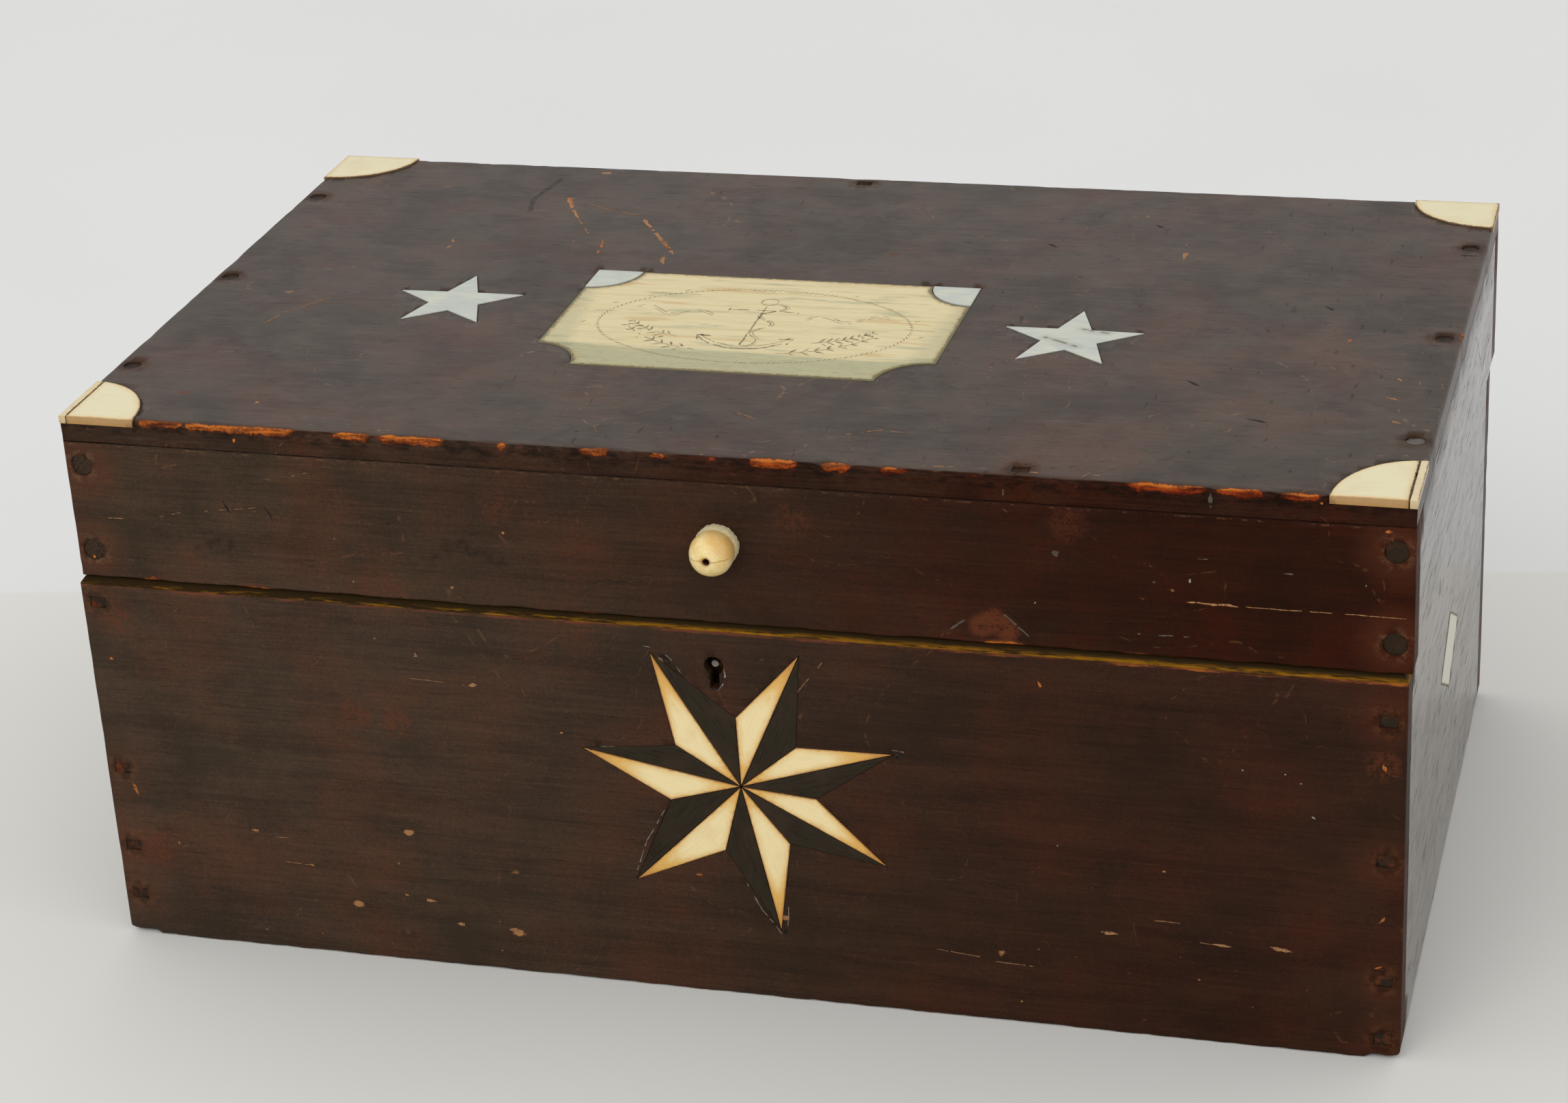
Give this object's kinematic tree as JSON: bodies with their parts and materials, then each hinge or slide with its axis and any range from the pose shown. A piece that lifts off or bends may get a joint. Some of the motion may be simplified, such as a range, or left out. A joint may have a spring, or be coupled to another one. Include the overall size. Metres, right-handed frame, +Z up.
{
  "type": "ditty box",
  "caption": "Wooden keepsake box with a hinged lid, a turned bone knob, a box lock, and bone, ebony and mother-of-pearl inlays on its front, sides and top.",
  "frame": {"origin": "centre of the underside of the bottom board and walls", "axes": "+X along the box's length to the right, +Y to the hinged back, +Z up"},
  "size_m": [0.3812, 0.2344, 0.1694],
  "materials": {
    "varnished_wood": "old dark varnish, worn to bare wood at the edges",
    "bottom_wood": "bare, oiled",
    "peg_wood": "end grain under old varnish",
    "bone": "polished, with fine pores and stained edges",
    "turned_bone": "turned and polished, yellowed",
    "pearl": "polished mother-of-pearl",
    "ebony": "scraped flush, waxed",
    "brass": "aged",
    "nail_iron": "black oxide with rust",
    "screw_iron": "browned",
    "spring_steel": "blued"
  },
  "bodies": {
    "base": {"base_back": "varnished_wood", "base_corner_nails": "nail_iron", "base_front": "varnished_wood", "base_left": "varnished_wood", "base_right": "varnished_wood", "bottom_board": "bottom_wood", "bottom_nails": "nail_iron", "hinge_lower_left": "brass", "hinge_lower_right": "brass", "hinge_lower_screws": "screw_iron", "hinge_pins": "brass", "lock_case": "brass", "lock_drill_pin": "brass", "lock_plate": "brass", "lock_screws": "screw_iron", "lock_spring": "spring_steel", "side_diamond_left": "bone", "side_diamond_right": "bone", "star_bone_1": "bone", "star_bone_2": "bone", "star_bone_3": "bone", "star_bone_4": "bone", "star_bone_5": "bone", "star_bone_6": "bone", "star_bone_7": "bone", "star_ebony_1": "ebony", "star_ebony_2": "ebony", "star_ebony_3": "ebony", "star_ebony_4": "ebony", "star_ebony_5": "ebony", "star_ebony_6": "ebony", "star_ebony_7": "ebony"},
    "lid": {"bone_corner_back_left": "bone", "bone_corner_back_right": "bone", "bone_corner_front_left": "bone", "bone_corner_front_right": "bone", "bone_strip_front_left": "bone", "bone_strip_front_right": "bone", "hinge_upper_left": "brass", "hinge_upper_right": "brass", "hinge_upper_screws": "screw_iron", "knob": "turned_bone", "lid_back": "varnished_wood", "lid_corner_pegs": "peg_wood", "lid_front": "varnished_wood", "lid_left": "varnished_wood", "lid_right": "varnished_wood", "link_plate": "brass", "link_plate_screws": "screw_iron", "pearl_star_left": "pearl", "pearl_star_right": "pearl", "plaque": "bone", "plaque_pearl_left": "pearl", "plaque_pearl_right": "pearl", "top_board": "varnished_wood", "top_board_nails": "nail_iron", "top_board_pegs": "peg_wood"},
    "bolt": {"lock_bolt": "brass"}
  },
  "joints": [
    {"name": "lid_hinge", "type": "hinge", "parent": "base", "child": "lid", "pos_m": [0, 0.1095, 0.11905], "axis": [-1, 0, 0], "range_deg": [0, 105]},
    {"name": "bolt_slide", "type": "slide", "parent": "base", "child": "bolt", "axis": [1, 0, 0], "range_m": [0, 0.004]}
  ]
}
